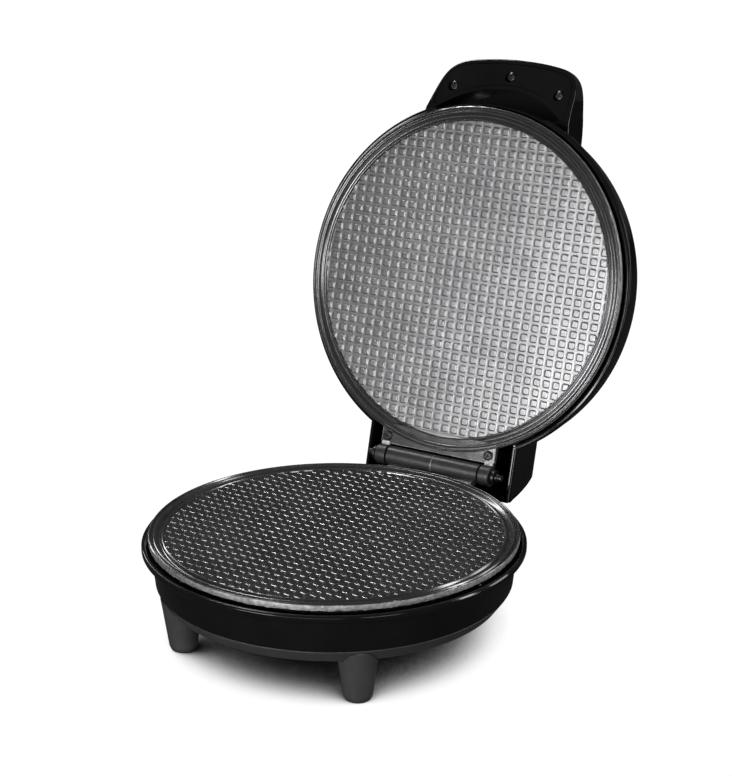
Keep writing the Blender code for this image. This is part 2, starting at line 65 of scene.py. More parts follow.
# -------------------------------------------------------------------- frame
MM = 0.001
HINGE_Y, HINGE_Z = 109.0, 1.0
hinge = frame["joints"][0]
HINGE = Vector(hinge["pos_m"])
OPEN = math.radians(hinge["range_deg"][1])
CENTRE = HINGE - Vector((0.0, HINGE_Y, HINGE_Z)) * MM
BASE = Matrix.Translation(CENTRE) @ Matrix.Scale(MM, 4)
LID = (Matrix.Translation(HINGE) @ Matrix.Rotation(-OPEN, 4, "X") @ Matrix.Scale(MM, 4)
       @ Matrix.Translation((0.0, -HINGE_Y, -HINGE_Z)))
BODY = {"base": BASE, "lid": LID}

FINE = 256                # steps round a housing
PLATE_STEPS = 384         # steps round a plate, whose outer edge is ragged
WELD = 0.002              # corners this close become one after a Boolean
SHARP_DEGREES = 32.0      # edges that bend more than this stay sharp
PLATE_R = 100.0
RING_START = 91.3         # where the rings begin, just outside the waffle field
LIP_R = 103.8
BARREL_R, BARREL_HALF = 5.8, 30.3
KNUCKLE_R, KNUCKLE_IN, KNUCKLE_OUT = 6.0, 31.2, 37.7
PIN_R, PIN_HALF, BORE_R = 2.5, 44.5, 2.56
TOWER_HALF, LOBE_R = 46.0, 11.5
TOWER_BACK = HINGE_Y - 0.2
HOOD_HALF = 49.0
WEB_SCREW_X, WEB_SCREW_Y = 33.6, 97.5
COVER_SCREW_R = 86.5
GLAND_X, GLAND_Z = 28.0, -21.2


# ================================================================ materials
# Sockets of a colour Mix node, whose names repeat and so are taken by place.
MIX_SHARE, MIX_FIRST, MIX_SECOND, MIX_COLOUR = 0, 6, 7, 2


def node_of(tree, kind, **settings):
    made = tree.nodes.new(kind)
    for key, value in settings.items():
        if key in made.inputs:
            made.inputs[key].default_value = value
        else:
            setattr(made, key, value)
    return made


def noise_of(tree, scale, detail=3.0, stretch=None):
    """Noise in the piece's own metres; stretch squeezes it along an axis for brushed lines."""
    where = node_of(tree, "ShaderNodeTexCoord")
    made = node_of(tree, "ShaderNodeTexNoise", Scale=scale, Detail=detail, Roughness=0.55)
    if stretch is None:
        tree.links.new(where.outputs["Object"], made.inputs["Vector"])
    else:
        turn = node_of(tree, "ShaderNodeMapping", Scale=stretch)
        tree.links.new(where.outputs["Object"], turn.inputs["Vector"])
        tree.links.new(turn.outputs["Vector"], made.inputs["Vector"])
    return made.outputs["Fac"]


def ranged(tree, source, low, high, start=0.3, end=0.7):
    made = node_of(tree, "ShaderNodeMapRange", **{
        "From Min": start, "From Max": end, "To Min": low, "To Max": high})
    tree.links.new(source, made.inputs["Value"])
    return made.outputs["Result"]


def tinted(tree, source, dark, light):
    made = node_of(tree, "ShaderNodeMix", data_type="RGBA")
    made.inputs[MIX_FIRST].default_value = (*dark, 1.0)
    made.inputs[MIX_SECOND].default_value = (*light, 1.0)
    tree.links.new(ranged(tree, source, 0.0, 1.0), made.inputs[MIX_SHARE])
    return made.outputs[MIX_COLOUR]


def bumped(tree, source, depth, below=None):
    made = node_of(tree, "ShaderNodeBump", Distance=depth, Strength=1.0)
    tree.links.new(source, made.inputs["Height"])
    if below is not None:
        tree.links.new(below, made.inputs["Normal"])
    return made.outputs["Normal"]


def finish(name, dark, light, rough, metallic=0.0, tone=60.0, wear=220.0, grains=(), stretch=None, **inputs):
    """A Principled finish: two tones, a roughness that wanders, and grains of (scale, depth) as bump."""
    made = bpy.data.materials.new(name)
    made.use_nodes = True
    tree = made.node_tree
    shader = tree.nodes["Principled BSDF"]
    shader.inputs["Metallic"].default_value = metallic
    for key, value in inputs.items():
        shader.inputs[key.replace("_", " ")].default_value = value
    tree.links.new(tinted(tree, noise_of(tree, tone, 5.0, stretch), dark, light), shader.inputs["Base Color"])
    tree.links.new(ranged(tree, noise_of(tree, wear, 4.0, stretch), *rough), shader.inputs["Roughness"])
    normal = None
    for scale, depth in grains:
        normal = bumped(tree, noise_of(tree, scale, 2.0, stretch), depth, normal)
    if normal is not None:
        tree.links.new(normal, shader.inputs["Normal"])
    return made


def speckled(made, scale, colour, share):
    """Scatters small specks of another tone over a finish."""
    tree = made.node_tree
    shader = tree.nodes["Principled BSDF"]
    under = shader.inputs["Base Color"].links[0].from_socket
    cells = node_of(tree, "ShaderNodeTexVoronoi", Scale=scale)
    where = node_of(tree, "ShaderNodeTexCoord")
    tree.links.new(where.outputs["Object"], cells.inputs["Vector"])
    mix = node_of(tree, "ShaderNodeMix", data_type="RGBA")
    mix.inputs[MIX_SECOND].default_value = (*colour, 1.0)
    covered = ranged(tree, cells.outputs["Distance"], 1.0, 0.0, share * 0.6, share)
    tree.links.new(covered, mix.inputs[MIX_SHARE])
    tree.links.new(under, mix.inputs[MIX_FIRST])
    tree.links.new(mix.outputs[MIX_COLOUR], shader.inputs["Base Color"])
    return made


GLOSS = finish("gloss_black_plastic", (0.0045, 0.0045, 0.005), (0.007, 0.007, 0.0075), (0.07, 0.13),
               tone=40.0, wear=90.0, grains=[(28.0, 0.00012), (1500.0, 0.000002)], IOR=1.5)
SATIN = speckled(finish("satin_grey_plastic", (0.040, 0.040, 0.042), (0.052, 0.052, 0.054), (0.36, 0.46),
                        tone=90.0, grains=[(2600.0, 0.00004), (700.0, 0.00002)], IOR=1.5),
                 1800.0, (0.07, 0.07, 0.072), 0.16)
COATED = speckled(finish("coated_plate", (0.22, 0.22, 0.225), (0.30, 0.30, 0.305), (0.27, 0.35),
                         metallic=0.85, tone=45.0, wear=350.0, grains=[(2400.0, 0.00002), (900.0, 0.000015)]),
                  1500.0, (0.44, 0.44, 0.44), 0.18)
# Painted shade: a darker, shaded copy of the plate coating for the lower plate
COATED_SHADED_LOW = speckled(finish("coated_lower_plate_shaded_copy", (0.07, 0.07, 0.072), (0.115, 0.115, 0.118), (0.24, 0.32),
                             metallic=0.8, tone=45.0, wear=350.0, grains=[(2400.0, 0.00001)]),
                      1500.0, (0.20, 0.20, 0.20), 0.12)
RINGED = finish("coated_plate_rings", (0.15, 0.15, 0.153), (0.20, 0.20, 0.203), (0.17, 0.22), metallic=0.85,
                tone=45.0, grains=[(2400.0, 0.00001)])
# Painted highlight: lighter copies of the coating for the ring round each pad's foot, standing in for light
# caught on the pads' edges
UPPER_RIM_HIGHLIGHT = finish("coated_plate_painted_rim_highlight", (0.26, 0.26, 0.265), (0.36, 0.36, 0.365), (0.34, 0.42),
               metallic=0.85, tone=260.0, wear=600.0, grains=[(2400.0, 0.00002)])
LOWER_RIM_HIGHLIGHT = finish("lower_plate_painted_rim_highlight", (0.34, 0.34, 0.345), (0.50, 0.50, 0.505), (0.22, 0.28),
                   metallic=0.9, tone=260.0)
CAST = speckled(finish("bare_cast_aluminium", (0.26, 0.26, 0.262), (0.52, 0.52, 0.515), (0.42, 0.62),
                       metallic=0.9, tone=420.0, wear=700.0,
                       grains=[(1100.0, 0.00022), (420.0, 0.00025), (3200.0, 0.00006)]),
                1300.0, (0.75, 0.75, 0.74), 0.2)
BARREL = finish("barrel_satin_black", (0.050, 0.050, 0.052), (0.075, 0.075, 0.078), (0.30, 0.42),
                metallic=0.5, tone=120.0, grains=[(1800.0, 0.00003)])
ZINC = finish("zinc_plated_steel", (0.50, 0.50, 0.49), (0.66, 0.66, 0.65), (0.22, 0.38), metallic=1.0,
              tone=150.0, grains=[(1400.0, 0.00002)], stretch=(1.0, 14.0, 14.0))
DARK_STEEL = finish("black_oxide_steel", (0.035, 0.035, 0.036), (0.075, 0.075, 0.078), (0.26, 0.42),
                    metallic=0.9, tone=500.0, grains=[(2200.0, 0.00003)])
HEATER = finish("heater_sheath", (0.14, 0.12, 0.10), (0.30, 0.27, 0.24), (0.38, 0.55), metallic=1.0,
                tone=160.0, grains=[(1200.0, 0.00004)])
SHEET = finish("aluminised_sheet", (0.50, 0.51, 0.52), (0.68, 0.69, 0.70), (0.28, 0.42), metallic=1.0,
               tone=120.0, grains=[(600.0, 0.00002)], stretch=(1.0, 20.0, 1.0))
CERAMIC = finish("white_ceramic", (0.70, 0.68, 0.63), (0.82, 0.80, 0.76), (0.40, 0.58), tone=80.0,
                 grains=[(900.0, 0.00005)])
RUBBER = finish("black_rubber", (0.014, 0.014, 0.014), (0.026, 0.026, 0.026), (0.62, 0.82), tone=100.0,
                grains=[(1600.0, 0.00006)])
RED = finish("red_lens", (0.40, 0.010, 0.010), (0.58, 0.02, 0.02), (0.08, 0.16), tone=200.0,
             grains=[(300.0, 0.00004)], Transmission_Weight=0.55, IOR=1.5)
GREEN = finish("green_lens", (0.015, 0.26, 0.04), (0.03, 0.38, 0.07), (0.08, 0.16), tone=200.0,
               grains=[(300.0, 0.00004)], Transmission_Weight=0.55, IOR=1.5)
GLASS = finish("lamp_glass", (0.68, 0.65, 0.58), (0.80, 0.77, 0.70), (0.05, 0.12), tone=200.0,
               grains=[(500.0, 0.00002)], Transmission_Weight=0.6, IOR=1.5)


# ============================================================ shape helpers
def soften(points, radius, steps=4, sharp=()):
    """A closed outline whose corners are rounded; corners on the axis or listed as sharp stay."""
    made = []
    count = len(points)
    for i, here in enumerate(points):
        here = Vector(here)
        before, after = Vector(points[i - 1]) - here, Vector(points[(i + 1) % count]) - here
        turn = before.angle(after, math.pi)
        if i in sharp or turn > math.radians(176) or abs(here.x) < 1e-6:
            made.append(tuple(here))
            continue
        reach = min(radius / math.tan(turn / 2), 0.45 * before.length, 0.45 * after.length)
        start, end = here + before.normalized() * reach, here + after.normalized() * reach
        for k in range(steps + 1):
            t = k / steps
            made.append(tuple(start * (1 - t) ** 2 + here * 2 * t * (1 - t) + end * t * t))
    return made


def spline(points, steps=6):
    """A smooth line through the points, open at its ends."""
    run = [Vector(p) for p in points]
    run = [run[0] * 2 - run[1]] + run + [run[-1] * 2 - run[-2]]
    made = []
    for a, b, c, d in zip(run, run[1:], run[2:], run[3:]):
        for k in range(steps):
            t = k / steps
            made.append(tuple(0.5 * (2 * b + (c - a) * t + (2 * a - 5 * b + 4 * c - d) * t * t
                                     + (3 * b - a - 3 * c + d) * t ** 3)))
    return made + [tuple(run[-2])]


def arc(centre, radius, start, end, steps):
    turn = [math.radians(start + (end - start) * i / steps) for i in range(steps + 1)]
    return [(centre[0] + radius * math.cos(a), centre[1] + radius * math.sin(a)) for a in turn]


def polar(radius, degrees):
    return radius * math.cos(math.radians(degrees)), radius * math.sin(math.radians(degrees))


def stack(rings):
    """A solid's side walls from rings with the same number of points, its ends still open."""
    bm = bmesh.new()
    made = [[bm.verts.new(p) for p in ring] for ring in rings]
    for low, high in zip(made, made[1:]):
        for i in range(len(low)):
            j = (i + 1) % len(low)
            bm.faces.new((low[i], low[j], high[j], high[i]))
    return bm, made[0], made[-1]


def capped(rings):
    """A solid from rings with the same number of points, one flat face at each end."""
    bm, first, last = stack(rings)
    bm.faces.new(first)
    bm.faces.new(last)
    return bm


def lathe(profile, steps=FINE, wander=None):
    """A closed (r, z) outline turned about Z. wander(r, z, turn) may move a point a little."""
    bm = bmesh.new()
    rings = []
    for r, z in profile:
        if r < 1e-6:
            rings.append([bm.verts.new((0.0, 0.0, z))] * steps)
            continue
        ring = []
        for i in range(steps):
            turn = math.tau * i / steps
            far, high = (r, z) if wander is None else wander(r, z, turn)
            ring.append(bm.verts.new((far * math.cos(turn), far * math.sin(turn), high)))
        rings.append(ring)
    for ring, other in zip(rings, rings[1:] + rings[:1]):
        for i in range(steps):
            j = (i + 1) % steps
            corners = list(dict.fromkeys((ring[i], ring[j], other[j], other[i])))
            if len(corners) > 2:
                bm.faces.new(corners)
    return bm


def inset(points, distance):
    """A closed outline moved inwards along its own normals."""
    area = sum(a[0] * b[1] - b[0] * a[1] for a, b in zip(points, points[1:] + points[:1]))
    turn = 1.0 if area > 0 else -1.0
    made = []
    for i, here in enumerate(points):
        before, after = points[i - 1], points[(i + 1) % len(points)]
        along = Vector((after[0] - before[0], after[1] - before[1])).normalized()
        made.append((here[0] - turn * along.y * distance, here[1] + turn * along.x * distance))
    return made


def placed(axis, a, b, along):
    """A point of an outline drawn across an axis, at a height along it."""
    return {"X": (along, a, b), "Y": (a, along, b), "Z": (a, b, along)}[axis]


def quarter_turn(steps):
    return [math.pi / 2 * k / steps for k in range(steps + 1)]


def slab(outline, axis, low, high, edge, steps):
    """An outline pushed along an axis from low to high, its edges rounded."""
    rings = []
    turns = quarter_turn(steps) if edge > 0.0 else [math.pi / 2]
    for level, sign, order in ((low, 1, turns), (high, -1, turns[::-1])):
        for t in order:
            along = level + sign * edge * (1 - math.cos(t))
            rings.append([placed(axis, a, b, along) for a, b in inset(outline, edge * (1 - math.sin(t)))])
    return capped(rings)


def prism(outline, axis, low, high):
    return capped([[placed(axis, a, b, along) for a, b in outline] for along in (low, high)])


def shifted(bm, by):
    bmesh.ops.translate(bm, vec=by, verts=bm.verts[:])
    return bm


def turned(bm, axis, degrees):
    turn = Matrix.Rotation(math.radians(degrees), 3, axis)
    bmesh.ops.rotate(bm, cent=(0, 0, 0), matrix=turn, verts=bm.verts[:])
    return bm


def rod(centre, axis, radius, length, steps=48, edge=0.3):
    """A round bar with softened ends; centre is its middle."""
    circle = [polar(radius, 360.0 * i / steps) for i in range(steps)]
    return shifted(slab(circle, axis, -length / 2, length / 2, edge, 3), centre)


def box(low, high):
    outline = [(low[0], low[1]), (high[0], low[1]), (high[0], high[1]), (low[0], high[1])]
    return prism(outline, "Z", low[2], high[2])


def data_of(bm):
    bmesh.ops.recalc_face_normals(bm, faces=bm.faces[:])
    made = bpy.data.meshes.new("shape")
    bm.to_mesh(made)
    bm.free()
    return made


def carved(start, *steps):
    """start joined with, cut by or kept inside each of the other shapes in turn."""
    tools = [bpy.data.objects.new("tool", data_of(bm)) for bm in (start, *(bm for _, bm in steps))]
    for tool in tools:
        bpy.context.scene.collection.objects.link(tool)
    for (operation, _), tool in zip(steps, tools[1:]):
        modifier = tools[0].modifiers.new("step", "BOOLEAN")
        modifier.operation = {"join": "UNION", "cut": "DIFFERENCE", "keep": "INTERSECT"}[operation]
        modifier.solver = "EXACT"
        modifier.object = tool
    bpy.context.view_layer.update()
    result = tools[0].evaluated_get(bpy.context.evaluated_depsgraph_get())
    bm = bmesh.new()
    bm.from_mesh(result.to_mesh())
    result.to_mesh_clear()
    for tool in tools:
        bpy.data.objects.remove(tool, do_unlink=True)
    bmesh.ops.remove_doubles(bm, verts=bm.verts[:], dist=WELD)
    bmesh.ops.dissolve_degenerate(bm, edges=bm.edges[:], dist=WELD)
    return bm


def piece(name, bm, body, looks, stands_for=(), choose=None):
    """A finished piece from a shape drawn in plate millimetres. choose(face's centre) picks the look."""
    if choose is not None:
        for face in bm.faces:
            face.material_index = choose(face.calc_center_median())
    mesh = data_of(bm)
    mesh.transform(BODY[body])
    mesh.shade_smooth()
    mesh.set_sharp_from_angle(angle=math.radians(SHARP_DEGREES))
    for look in looks:
        mesh.materials.append(look)
    made = bpy.data.objects.new(name, mesh)
    bpy.context.scene.collection.objects.link(made)
    shading = made.modifiers.new("even_shading", "WEIGHTED_NORMAL")
    shading.keep_sharp = True
    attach(made, body)
    if stands_for:
        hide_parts(*stands_for)
    return made


# =========================================================== baking plates
LAND_Z, PAD_Z = -2.1, -1.55
FIELD_UNDER_Z = -3.4      # underside of the waffle slab, sunk into the casting
CELL_WELD = 0.06          # corners of neighbouring cells this close become one
CELL_CORNERS = [(1, 1), (-1, 1), (-1, -1), (1, -1)]
LAND_SPLIT = 1.2          # where the land's square is split to meet the pad's corner points
FOOT_LEVEL = 1            # the ring of faces round a pad's foot, which takes the second look, a lighter painted highlight
PAD_LOOPS = [             # half width, corner radius, height
    (2.36, 1.10, LAND_Z), (2.06, 0.80, LAND_Z + 0.06), (1.56, 0.42, PAD_Z), (1.40, 0.36, PAD_Z + 0.03),
]


def pad_cell(pitch):
    """One waffle cell as loops of 12 points: the land's square, its outline, wall and top."""
    half = (pitch[0] / 2, pitch[1] / 2)
    quarters = [([(half[0], LAND_SPLIT), half, (LAND_SPLIT, half[1])], LAND_Z)]
    for width, corner, z in PAD_LOOPS:
        inner = width - corner
        bend = corner * math.sqrt(0.5)
        quarters.append(([(width, inner), (inner + bend, inner + bend), (inner, width)], z))
    loops = []
    for quarter, z in quarters:
        loop = []
        for i, (sx, sy) in enumerate(CELL_CORNERS):
            loop += [(sx * x, sy * y, z) for x, y in (quarter if i % 2 == 0 else quarter[::-1])]
        loops.append(loop)
    return loops


def waffle_field(pitch, shift, radius=92.0):
    """A closed slab of raised square pads, trimmed to the circle inside the rings."""
    loops = pad_cell(pitch)
    field = bmesh.new()
    reach = int(radius / min(pitch)) + 2
    diagonal = math.hypot(*pitch) / 2
    for column in range(-reach, reach + 1):
        for row in range(-reach, reach + 1):
            x, y = (column + shift[0]) * pitch[0], (row + shift[1]) * pitch[1]
            far = math.hypot(x, y)
            if far - diagonal > radius:
                continue
            cell = field if far + diagonal < radius else bmesh.new()
            made = [[cell.verts.new((x + a, y + b, z)) for a, b, z in loop] for loop in loops]
            for level, (outer, inner) in enumerate(zip(made, made[1:])):
                for i in range(len(outer)):
                    j = (i + 1) % len(outer)
                    face = cell.faces.new((outer[i], outer[j], inner[j], inner[i]))
                    face.material_index = int(level == FOOT_LEVEL)
            cell.faces.new(made[-1])
            if cell is not field:
                out = Vector((x, y, 0.0)).normalized()
                bmesh.ops.bisect_plane(cell, geom=cell.verts[:] + cell.edges[:] + cell.faces[:], dist=0.01,
                                       plane_co=out * radius, plane_no=out, clear_outer=True)
                trimmed = bpy.data.meshes.new("cell")
                cell.to_mesh(trimmed)
                cell.free()
                field.from_mesh(trimmed)
                bpy.data.meshes.remove(trimmed)
    bmesh.ops.remove_doubles(field, verts=field.verts[:], dist=CELL_WELD)
    rim = [edge for edge in field.edges if edge.is_boundary]
    sides = bmesh.ops.extrude_edge_only(field, edges=rim)["geom"]
    for vert in (item for item in sides if isinstance(item, bmesh.types.BMVert)):
        vert.co.z = FIELD_UNDER_Z
    under = [item for item in sides if isinstance(item, bmesh.types.BMEdge) and item.is_boundary]
    bmesh.ops.holes_fill(field, edges=under, sides=0)
    return field


# Crests and hollows of the rings, from the field's edge out to the rough cast edge.
RINGS = [
    (91.4, -2.1), (91.75, -1.25), (92.3, -0.85), (92.9, -1.35), (93.7, -2.35), (94.7, -2.5), (95.7, -1.5),
    (96.4, -0.55), (96.9, -0.4), (97.4, -0.7), (98.0, -1.55), (98.6, -1.45), (99.1, -0.55), (99.5, -0.42),
    (PLATE_R, -0.9),
]


def plate_profile(depth):
    """Half section of a plate that is depth thick below the parting plane, from the middle round."""
    rough_edge = [(PLATE_R + 0.1, -1.8), (PLATE_R + 0.1, -2.7), (PLATE_R, -3.6)]
    under = [(99.4, -4.1), (96.5, -4.1), (94.0, -depth), (0.0, -depth)]
    bed = [(0.0, -2.8), (91.35, -2.8)]
    return bed + spline(RINGS, 4) + rough_edge + soften(under, 0.4, 2, sharp=(0, 3))


def ragged(r, z, turn):
    """The casting's rough outer edge, uneven by some tenths of a millimetre."""
    if r < 99.35 or z > -0.5:
        return r, z
    spot = Vector((math.cos(turn) * 46.0, math.sin(turn) * 46.0, z * 1.4))
    fine = spot * 2.7
    push = 0.16 * noise.noise(spot) + 0.10 * noise.noise(fine)
    drop = 0.0
    if z < -3.0:
        drop = 0.42 * noise.noise(spot * 0.8 + Vector((7.0, 0.0, 0.0))) + 0.2 * noise.noise(fine)
    return r + push - 0.05, z + drop


def mirror_z(bm):
    for vert in bm.verts:
        vert.co.z = -vert.co.z
    bmesh.ops.reverse_faces(bm, faces=bm.faces[:])
    return bm


def lower_look(centre):
    """Bare cast metal on the outer edge and the web, the rings' finish on the rings, coated elsewhere."""
    far = math.hypot(centre.x, centre.y)
    if far > 99.72 and centre.z < -0.8:
        return 1
    return 2 if far > RING_START and centre.z > -3.0 else 0


def upper_look(centre):
    """As on the lower plate, and the barrel's finish on the hinge arms and knuckles."""
    far = math.hypot(centre.x, centre.y)
    if centre.y > 103.2:
        return 2
    if far > PLATE_R - 0.15 and centre.z > 1.0:
        return 1
    return 3 if far > RING_START and centre.z < 3.0 else 0


def sleeve(half, radius, middle=0.0):
    """A turned sleeve on the hinge axis with eased ends; middle is its place along the axis."""
    outline = [(-half, BORE_R), (-half, radius), (half, radius), (half, BORE_R)]
    profile = [(r, x) for x, r in soften(outline, 0.35, 3)]
    return shifted(turned(lathe(profile, 64), "Y", 90.0), (middle, HINGE_Y, HINGE_Z))


def lower_plate():
    web = soften([(94.5, -6.6), (94.5, -3.0), (101.0, -3.0), (105.5, -1.4), (109.0, -1.4), (109.0, -4.2),
                  (104.0, -6.6)], 0.7, 3)
    shape = carved(
        lathe(plate_profile(7.6), PLATE_STEPS, ragged),
        ("join", slab(web, "X", -28.0, 28.0, 0.4, 3)),
        ("cut", rod((0.0, HINGE_Y, HINGE_Z), "X", BARREL_R - 0.4, 80.0, 64, 0.0)),
    )
    piece("lower_plate_casting", shape, "base", [COATED_SHADED_LOW, CAST, RINGED], ["lower_plate"],
          lower_look)
    field = waffle_field((5.87, 5.81), (0.21, 0.08))
    piece("lower_waffle_field", field, "base", [COATED_SHADED_LOW, LOWER_RIM_HIGHLIGHT])
    for side, word in ((-1, "left"), (1, "right")):
        half_barrel = sleeve(BARREL_HALF / 2 - 0.2, BARREL_R, side * (BARREL_HALF / 2 + 0.1))
        piece(f"lower_plate_barrel_{word}", half_barrel, "base", [BARREL])
    piece("lower_plate_barrel_seam", sleeve(0.35, BARREL_R - 0.12), "base", [CAST])


def upper_plate():
    web = [(37.7, 90.0), (37.7, 101.4), (36.9, 102.2), (-36.9, 102.2), (-37.7, 101.4), (-37.7, 90.0)]
    arm = soften([(98.5, 1.6), (98.5, 4.4), (104.0, 5.2), (109.0, 6.6), (109.0, 0.0), (104.0, 0.9)], 0.8, 3)
    shape = mirror_z(lathe(plate_profile(6.4), PLATE_STEPS, ragged))
    long = KNUCKLE_OUT - KNUCKLE_IN
    steps = [("join", slab(soften(web, 1.2, 3), "Z", 1.3, 4.7, 0.4, 3))]
    for side in (-1, 1):
        middle = side * (KNUCKLE_IN + KNUCKLE_OUT) / 2
        steps.append(("join", slab(arm, "X", middle - 2.9, middle + 2.9, 0.6, 3)))
        steps.append(("join", rod((middle, HINGE_Y, HINGE_Z), "X", KNUCKLE_R, long, 64, 0.5)))
        steps.append(("cut", rod((side * WEB_SCREW_X, WEB_SCREW_Y, 3.0), "Z", 1.75, 8.0, 32, 0.0)))
    steps.append(("cut", rod((0, HINGE_Y, HINGE_Z), "X", BORE_R, 90.0, 48, 0.0)))
    piece("upper_plate_casting", carved(shape, *steps), "lid", [COATED, CAST, BARREL, RINGED],
          ["upper_plate"], upper_look)
    field = mirror_z(waffle_field((6.0, 6.0), (0.5, 0.5)))
    piece("upper_waffle_field", field, "lid", [COATED, UPPER_RIM_HIGHLIGHT])


# ================================================================= screws
HEAD_R, SHANK_R = 2.9, 1.4
THREAD_PITCH, THREAD_DEPTH = 0.9, 0.28


def screw(name, body, at, look, head_h, length):
    """A pan-head screw with a cross recess and a thread; at is under its head and the shank points up."""
    head = soften([(0.0, 0.0), (HEAD_R, 0.0), (HEAD_R, -head_h * 0.5), (HEAD_R * 0.7, -head_h),
                   (0.0, -head_h)], 0.45, 4)
    cross = []
    for turn in (0.0, 90.0):
        bar = prism(soften([(-1.75, -0.34), (1.75, -0.34), (1.75, 0.34), (-1.75, 0.34)], 0.2, 2), "Z",
                    -head_h - 1.0, -head_h + min(0.9, head_h * 0.6))
        cross.append(("cut", turned(bar, "Z", turn + 24.0)))
    shape = carved(lathe(head, 48), *cross)
    ridges = []
    count = int(length / THREAD_PITCH)
    for i in range(count):
        z = length * i / count
        ridges += [(SHANK_R, z + 0.05), (SHANK_R - THREAD_DEPTH, z + 0.45)]
    thread = lathe([(0.0, -0.4), (SHANK_R, -0.4)] + ridges + [(SHANK_R * 0.6, length), (0.0, length)], 32)
    both = bpy.data.meshes.new("thread")
    thread.to_mesh(both)
    thread.free()
    shape.from_mesh(both)
    bpy.data.meshes.remove(both)
    piece(f"{name}_machined", shifted(shape, at), body, [look], [name])


# =========================================================== base housing
COVER_SPOTS = {"cover_screw_front": polar(COVER_SCREW_R, 270), "cover_screw_right": polar(COVER_SCREW_R, 30),
               "cover_screw_left": polar(COVER_SCREW_R, 150)}


def base_shell():
    """The turned wall and lip with their screw posts. Known fault: the hinge housing that the first
    step joins on at the rear isn't in the finished mesh."""
    wall = soften([
        (101.1, -5.3), (102.2, -4.9), (103.2, -5.1), (LIP_R, -6.0), (LIP_R, -8.2), (103.0, -9.2),
        (99.4, -10.0), (98.6, -11.0), (96.9, -27.2), (96.5, -27.6), (94.5, -27.6), (96.0, -12.2),
        (96.7, -8.0), (98.4, -6.6)], 0.5, 4)
    tower = soften([(80.0, -27.6), (TOWER_BACK, -27.6), (TOWER_BACK, HINGE_Z - LOBE_R)]
                   + arc((HINGE_Y, HINGE_Z), LOBE_R, -84.0, -12.0, 24) + [(120.3, 0.4), (80.0, 0.4)], 1.0, 4)
    inside = [(0.0, -29.0), (94.6, -29.0), (96.2, -12.2), (96.9, -8.0), (98.6, -6.4), (101.4, -4.8),
              (101.4, 20.0), (0.0, 20.0)]
    steps = [
        ("join", carved(slab(tower, "X", -TOWER_HALF, TOWER_HALF, 0.7, 4), ("cut", lathe(inside)))),
        ("cut", box((-41.5, 85.0, -7.4), (41.5, 130.0, 20.0))),
        ("cut", box((-43.5, 80.0, -31.0), (43.5, 106.4, -9.9))),
        ("cut", rod((0, HINGE_Y, HINGE_Z), "X", 3.0, 100.0, 48, 0.0)),
        ("cut", rod((GLAND_X, 108.0, GLAND_Z), "Y", 4.8, 8.0, 48, 0.0)),
    ]
    for x, y in COVER_SPOTS.values():
        steps.append(("join", rod((x, y, -21.9), "Z", 3.5, 19.0, 32, 0.3)))
        steps.append(("cut", rod((x, y, -27.5), "Z", 1.7, 16.0, 24, 0.0)))
    shape = carved(lathe(wall), *steps)
    piece("base_shell_skin", shape, "base", [GLOSS], ["base_shell"])


def bottom_cover():
    section = soften([
        (96.2, -27.9), (96.2, -28.4), (91.4, -35.0), (90.4, -35.6), (0.0, -35.6), (0.0, -33.2),
        (88.9, -33.2), (92.2, -29.4), (92.2, -22.6), (93.9, -22.6), (93.9, -27.9)], 0.45, 4)
    back = TOWER_BACK - 0.4
    tab = soften([(77.0, -35.4), (102.8, -35.4), (back, -28.4), (back, -28.0), (77.0, -28.0)], 0.4, 3)
    sides = soften([(-45.7, -20.0), (-45.7, -28.4), (-40.4, -35.8), (-40.4, -40.0), (40.4, -40.0),
                    (40.4, -35.8), (45.7, -28.4), (45.7, -20.0)], 0.5, 3, sharp=(0, 3, 4, 7))
    steps = [
        ("join", carved(slab(tab, "X", -45.8, 45.8, 0.3, 2), ("keep", prism(sides, "Y", 60.0, 125.0)))),
        ("cut", box((-42.8, 74.0, -33.0), (42.8, 105.2, -20.0))),
    ]
    for x, y in COVER_SPOTS.values():
        sunk = lathe([(0.0, -40.0), (3.5, -40.0), (3.3, -35.2), (3.3, -34.6), (1.75, -34.6), (1.75, -27.0),
                      (0.0, -27.0)], 32)
        steps.append(("cut", shifted(sunk, (x, y, 0.0))))
    half_wide, half_long = 1.2, 10.0
    for row in (-1, 1):
        for column in range(-3, 4):
            x, y = column * 7.0, row * 30.0
            vent = soften([(x - half_wide, y - half_long), (x + half_wide, y - half_long),
                           (x + half_wide, y + half_long), (x - half_wide, y + half_long)], 1.1, 4)
            steps.append(("cut", prism(vent, "Z", -38.0, -30.0)))
    shape = carved(lathe(section), *steps)
    piece("bottom_cover_skin", shape, "base", [SATIN], ["bottom_cover"])


def feet():
    """Tapered feet whose tops follow the cover's bevel; the rear pair stands closer together."""
    bevel = [(0.0, -35.9), (90.5, -35.9), (91.7, -35.3), (96.5, -28.7), (96.5, -20.0), (0.0, -20.0)]
    profile = soften([(0.0, -28.5), (11.8, -28.5), (10.6, -36.0), (7.6, -56.8), (6.6, -59.0), (0.0, -59.0)],
                     1.3, 5)
    for name in ("foot_front_left", "foot_front_right", "foot_rear_left", "foot_rear_right"):
        low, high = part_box(name)
        spot = (low + high) / 2 - CENTRE
        x, y = (55.0, -64.5) if spot.y < 0 else (48.0, 72.0)
        shape = carved(shifted(lathe(profile, 72), (math.copysign(x, spot.x), y, 0.0)), ("cut", lathe(bevel)))
        piece(f"{name}_moulding", shape, "base", [SATIN], [name])


def gland():
    neck = soften([(4.5, -4.5), (4.5, 0.4), (5.6, 0.7), (5.6, 3.2), (4.7, 4.0), (3.1, 4.0), (3.1, -4.5)],
                  0.4, 4)
    bush = shifted(turned(lathe(neck, 64), "X", -90.0), (GLAND_X, 108.6, GLAND_Z))
    piece("cord_gland_bush", bush, "base", [RUBBER], ["cord_gland"])


